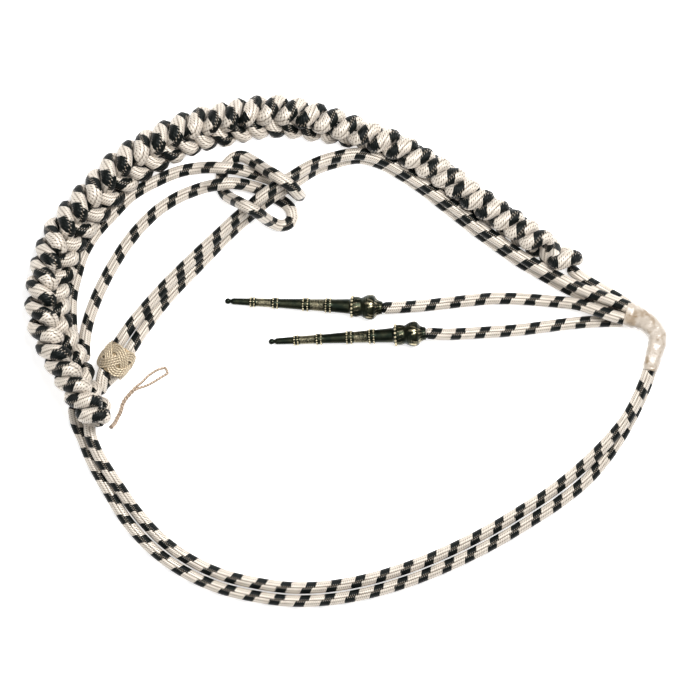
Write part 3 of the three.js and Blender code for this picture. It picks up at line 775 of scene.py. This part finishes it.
def tip_body(ball, axis, side, top, profile):
    """Rings of the turned body, how far along each one is, and how golden it is."""
    shares = profile[0]
    rows = np.unique(np.concatenate([shares, np.linspace(0, 1, TIP_RINGS),
                                     np.linspace(0, SMOOTH_START, BALL_RINGS)]))
    out = np.interp(rows, *profile) * TIP_BULB_RADIUS
    from_ball = rows * TIP_LENGTH / BALL_RADIUS - 1
    out = np.where(rows < BALL_END, BALL_RADIUS * np.sqrt(np.clip(1 - from_ball ** 2, 0, 1)), out)
    smooth = np.convolve(np.pad(out, 2, mode="edge"), SMOOTHING, "valid")
    out = np.where(rows > SMOOTH_START, smooth, out)[:, None]
    turn = np.broadcast_to(turns(TIP_SIDES), (len(rows), TIP_SIDES))
    share = np.broadcast_to(rows[:, None], turn.shape)
    leaf = palmettes(share, turn, out)
    flutes = 0.5 + 0.5 * np.cos(turn * FLUTES + (share - FLUTE_FROM) * FLUTE_SLANT)
    flutes = flutes * within(share, FLUTED_SHARES)
    radius = out * (1 + LEAF_RELIEF * leaf) - BODY_INSET + FLUTE_RELIEF * flutes
    radius = np.maximum(radius, THINNEST)[..., None]
    gold = 0.95 * leaf + 0.45 * flutes + 0.42 * within(share, TEXTURED_SHARES)
    gold = gold + 0.35 * np.exp(-((share - RIM_SHARE) / RIM_WIDTH) ** 2) + 0.15 * (share < BALL_GOLD_END)
    outward = np.cos(turn)[..., None] * side + np.sin(turn)[..., None] * top
    return ball + axis * (rows[:, None, None] * TIP_LENGTH) + radius * outward, rows * TIP_LENGTH, gold


def tip_beads(ball, axis, side, top, profile):
    """Corners and faces of the beads in the tip's rings and its collar."""
    corners, faces = [], []
    for place in RING_SHARES + (COLLAR_SHARE,):
        grown = COLLAR_GROWTH if place == COLLAR_SHARE else 1.0
        around = np.interp(place, *profile) * TIP_BULB_RADIUS - BEAD_SINK
        count = int(TURN * around / (BEAD * BEAD_PITCH * grown))
        for j in range(count):
            angle = TURN * (j + 0.5) / count
            outward = math.cos(angle) * side + math.sin(angle) * top
            points, parts = bead_at(ball + axis * place * TIP_LENGTH + around * outward, BEAD * grown)
            faces += [tuple(i + len(corners) for i in part) for part in parts]
            corners += points
    return corners, faces


def tip(node, cord_rows, degrees, material):
    axis = tip_axis(degrees)
    side = unit(np.cross(UP, axis))
    top = np.cross(axis, side)
    ball = np.array([cord_rows[0][0], cord_rows[0][1], 0.0]) - axis * (TIP_LENGTH + 3 * GAP)
    ball[2] = BALL_HEIGHT * TIP_BULB_RADIUS
    profile = np.array(sorted(TIP_PROFILE + BULB_ROUNDING)).T

    rings, along, gold = tip_body(ball, axis, side, top, profile)
    mesh = rings_mesh(node, rings, 1, along)
    set_gold(mesh, gold)
    body = add_object(node + "_turned", mesh, material)

    corners, faces = tip_beads(ball, axis, side, top, profile)
    mesh = bpy.data.meshes.new(node + "_beads")
    mesh.from_pydata(((np.array(corners) + SHIFT) * MM).tolist(), [], faces)
    mesh.polygons.foreach_set("use_smooth", [True] * len(faces))
    set_gold(mesh, np.full(len(corners), BEAD_GOLD))
    beads = add_object(node + "_beads", mesh, material)
    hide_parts(node)
    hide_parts(node)
    return [body, beads]


metal = metal_material()
upper_tip = tip("tip_upper", UPPER_TIP_CORD_ROUTE, UPPER_TIP_HEADING, metal)
lower_tip = tip("tip_lower", LOWER_TIP_CORD_ROUTE, LOWER_TIP_HEADING, metal)
upper_rows = UPPER_TIP_CORD_ROUTE[::-1] + [UPPER_NECK]
lower_rows = LOWER_TIP_CORD_ROUTE[::-1] + [LOWER_NECK]
cord("tip_cord_upper", level_points(upper_rows), cord_look)
cord("tip_cord_lower", level_points(lower_rows), cord_look, start=3)


# Slide knot

# Row of the return cords' route to which the knot points.
SLIDE_HEADING_ROW = 6
# A Turk's head with this many leads and bights, of bands of parallel threads.
LEADS = 3
BIGHTS = 5
BAND_THREADS = 4
BAND_PITCH = 1.2
BAND_RADIUS = 0.56
BAND_SIDES = 8
BAND_RINGS = 760
BAND_MARGIN = 0.1
# Height of the bands above the bore, and how far they weave in and out.
BAND_HEIGHT = 1.15
BAND_WEAVE = 0.4
# Drop of the bands towards the ends, for each square millimetre along the knot.
BARREL_DROP = 0.024
THREAD_STRANDS = 2
CORE_SIDES = 48
CORE_STRANDS = 40
# The core under the bands: share of the knot's length, height above the bore.
CORE_PROFILE = [
    (-0.47, -0.7), (-0.42, -0.4), (-0.2, 0.1), (0, 0.2), (0.2, 0.1), (0.42, -0.4), (0.47, -0.7),
]


def thread_material(name, light, deep, pitch):
    """Twisted thread: the strands climb round it once in every pitch millimetres."""
    shader = Shader(name, metallic=0.35, sheen_weight=0.2, sheen_roughness=0.4)
    u, v = shader.map()
    twist = ((u + v / pitch).fract() - 0.5).abs() * 2
    # Painted shade: the grooves between the twisted strands are darkened towards deep, and random tone
    # varies the colour.
    shade = twist.step(0.55, 1.0) * 0.8 + (shader.noise(1.2, 2) - 0.5) * 0.5
    shader.set("Base Color", shader.mix(shade, light, deep))
    shader.set("Roughness", shade * 0.15 + 0.38)
    shader.bump(twist * -1 + 1, 0.18, 0.8)
    return shader.material


def slide_knot(material, core_material):
    bore = LAYER / 2 + RADIUS + SLIDE_CLEARANCE
    x, y = SLIDE_PLACE
    next_x, next_y = RETURN_ROUTE[SLIDE_HEADING_ROW][:2]
    heading = math.atan2(next_y - y, next_x - x)
    axis = np.array([math.cos(heading), math.sin(heading), 0])
    side = np.cross(UP, axis)
    centre = np.array([x, y, bore + SLIDE_WALL])

    def wrap(t, offset):
        """Line of the thread that lies offset beside its band's middle, and outward vectors."""
        swing = SLIDE_LENGTH / 2 - BAND_THREADS * BAND_PITCH / 2 - BAND_MARGIN
        weave = BIGHTS * t / LEADS
        along = swing * np.cos(weave)
        slope = -swing * BIGHTS / LEADS * np.sin(weave)
        radius = bore + BAND_HEIGHT + BAND_WEAVE * np.sin(2 * weave)
        run = np.hypot(slope, radius)
        along = along + offset * radius / run
        turn = t - offset * slope / run / radius
        radius = radius - BARREL_DROP * along ** 2
        outward = np.cos(turn)[:, None] * side + np.sin(turn)[:, None] * UP
        return centre + along[:, None] * axis + radius[:, None] * outward, outward

    t = np.linspace(0, LEADS * TURN, BAND_RINGS, endpoint=False)
    for k in range(BAND_THREADS):
        line, out = wrap(t, (k - (BAND_THREADS - 1) / 2) * BAND_PITCH)
        along = unit(np.roll(line, -1, axis=0) - np.roll(line, 1, axis=0))
        out = unit(out - along * (out * along).sum(1)[:, None])
        rings = swept(line, np.cross(out, along), out, circle(BAND_RADIUS, BAND_SIDES))
        name = f"slide_band_{k + 1}"
        mesh = rings_mesh(name, rings, THREAD_STRANDS, lengths(line), closed=True)
        piece = add_object(name, mesh, material)
        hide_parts("slide_knot")
    around = circle(1, CORE_SIDES)
    around = around[:, :1] * side + around[:, 1:] * UP
    rings = np.array([centre + axis * share * SLIDE_LENGTH + (bore + height) * around
                      for share, height in CORE_PROFILE])
    along = np.array(CORE_PROFILE)[:, 0] * SLIDE_LENGTH
    mesh = rings_mesh("slide_core", rings, CORE_STRANDS, along, capped=False)
    core = add_object("slide_core", mesh, core_material)
    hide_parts("slide_knot")


# Each thread's second colour is that of the painted shade in the grooves between its strands.
gold_thread = thread_material("gold_thread", linear((203, 187, 160)), linear((104, 84, 60)), 1.5)
pale_thread = thread_material("pale_thread", linear((172, 152, 132)), linear((92, 74, 60)), 1.7)
core_thread = thread_material("core_thread", linear((160, 140, 108)), linear((92, 72, 48)), 1.5)
slide_knot(gold_thread, core_thread)


# Button loop

LOOP_THREAD_RADIUS = 0.65
LOOP_THREAD_SIDES = 10
LOOP_THREAD_STEP = 0.45
# Points along the loop's middle line.
LOOP_POINTS = 120
# The eye opens and closes over these shares of the loop's length.
EYE_OPENS = (0.6, 0.85)
EYE_CLOSES = (0.9, 1.15)
# Turns of the two legs round each other, the share where they end, and how they slow down.
LEG_TURNS = 8
LEG_TURNS_END = 0.62
LEG_TURNS_SLOWING = 1.1


def button_loop(material):
    middle = [(x, y, z + THREAD_DIAMETER / 2) for x, y, z in BUTTON_LOOP_ROUTE]
    line = spline(middle)[0]
    s = lengths(line)
    share = np.linspace(0, 1, LOOP_POINTS)
    centre = at_lengths(line, s, share * s[-1])
    along = unit(np.gradient(centre, axis=0))
    side = unit(np.cross(UP, along))
    top = np.cross(along, side)

    def eased(low, high):
        q = np.clip((share - low) / (high - low), 0, 1)
        return q * q * (3 - 2 * q)

    wide = eased(*EYE_OPENS) * (1 - eased(*EYE_CLOSES))
    apart = (THREAD_DIAMETER + GAP / 2) / 2 + wide * EYE_WIDTH / 2
    left = 1 - np.minimum(share / LEG_TURNS_END, 1)
    angle = TURN * LEG_TURNS * left ** LEG_TURNS_SLOWING
    legs = []
    for hand in (1, -1):
        leg = centre + hand * apart[:, None] * (np.cos(angle)[:, None] * side + np.sin(angle)[:, None] * top)
        leg[:, 2] = np.maximum(leg[:, 2], THREAD_DIAMETER / 2 + LOWEST)
        legs.append(leg)
    path = even(spline(np.vstack([legs[0], legs[1][::-1]]), 6)[0], LOOP_THREAD_STEP)
    side, top = carried_frames(path)
    s = lengths(path)
    rings = swept(path, side, top, circle(LOOP_THREAD_RADIUS, LOOP_THREAD_SIDES))
    mesh = rings_mesh("button_loop", rings, THREAD_STRANDS, s)
    piece = add_object("button_loop_thread", mesh, material)
    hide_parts("button_loop")
    path = (path + SHIFT) * MM


button_loop(pale_thread)


# Tape

TAPE_SIDES = 48
TAPE_RINGS = 66
TAPE_MAP_WIDTH = 12
# 1 gives a section of an ellipse, and less gives squarer ones.
TAPE_SQUARENESS = 0.62
TAPE_SMOOTHING = np.array([1, 4, 6, 4, 1]) / 16
# How much the folds draw the tape in, across and upwards.
FOLD_ACROSS = 0.09
FOLD_UP = 0.05
# One more section at each end, in which the cords' cut ends are hidden.
TAPE_FIRST = (139.0, 18.1, -15, 13.4, 2.7)
TAPE_LAST = (151.3, -10.4, -104, 7.8, 2.0)


def tape_material():
    shader = Shader("clear_tape", coat_weight=0.35, coat_roughness=0.12)
    fold = shader.noise(3.2, 4.0, 0.65)
    patch = shader.noise(7, 2.0)
    tan = patch.step(0.5, 0.68) * 0.7 + fold.step(0.56, 0.64) * 0.45
    shader.set("Base Color", shader.mix(tan, linear((176, 165, 152)), linear((132, 112, 86))))
    shader.set("Roughness", fold * 0.3 + 0.15)
    shader.bump(fold * 0.8 + patch * 0.2, 0.9, 0.9)
    return shader.material


def tape_folds(i, turn):
    """Depth of the folds round ring i: a bent wave, creases and a fine wave."""
    bent = np.sin(i * 0.9 + 2.3 * np.sin(turn * 2 + i * 0.13)) * 0.22
    creases = np.abs(np.sin(turn * 3 + i * 0.31)) * 0.35
    fine = np.sin(turn * 7 - i * 0.7) * 0.1
    return bent + creases + fine


def tape(material):
    table = np.array([TAPE_FIRST] + TAPE_SECTIONS + [TAPE_LAST], float)
    dense = np.linspace(0, len(table) - 1, TAPE_RINGS)
    line = at_lengths(table, np.arange(len(table)), dense)
    for c in range(table.shape[1]):
        smooth = np.convolve(np.pad(line[:, c], 2, mode="edge"), TAPE_SMOOTHING, "valid")
        line[1:-1, c] = smooth[1:-1]
    turn = turns(TAPE_SIDES)
    section = circle(1, TAPE_SIDES)
    section = np.sign(section) * np.abs(section) ** TAPE_SQUARENESS / 2
    rings = []
    for i, (x, y, degrees, width, layers) in enumerate(line):
        heading = math.radians(degrees)
        height = layers * LAYER + 2 * TAPE_WALL
        fold = tape_folds(i, turn)
        across = section[:, 0] * width * (1 - fold * FOLD_ACROSS)
        up = height / 2 + section[:, 1] * height * (1 - fold * FOLD_UP)
        rings.append(np.stack([x + across * math.sin(heading), y - across * math.cos(heading), up], 1))
    mesh = rings_mesh("tape_wrap", np.array(rings)[:, ::-1], TAPE_MAP_WIDTH, lengths(line[:, :2]))
    piece = add_object("tape_wrap_folds", mesh, material)
    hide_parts("tape_wrap")


tape(tape_material())
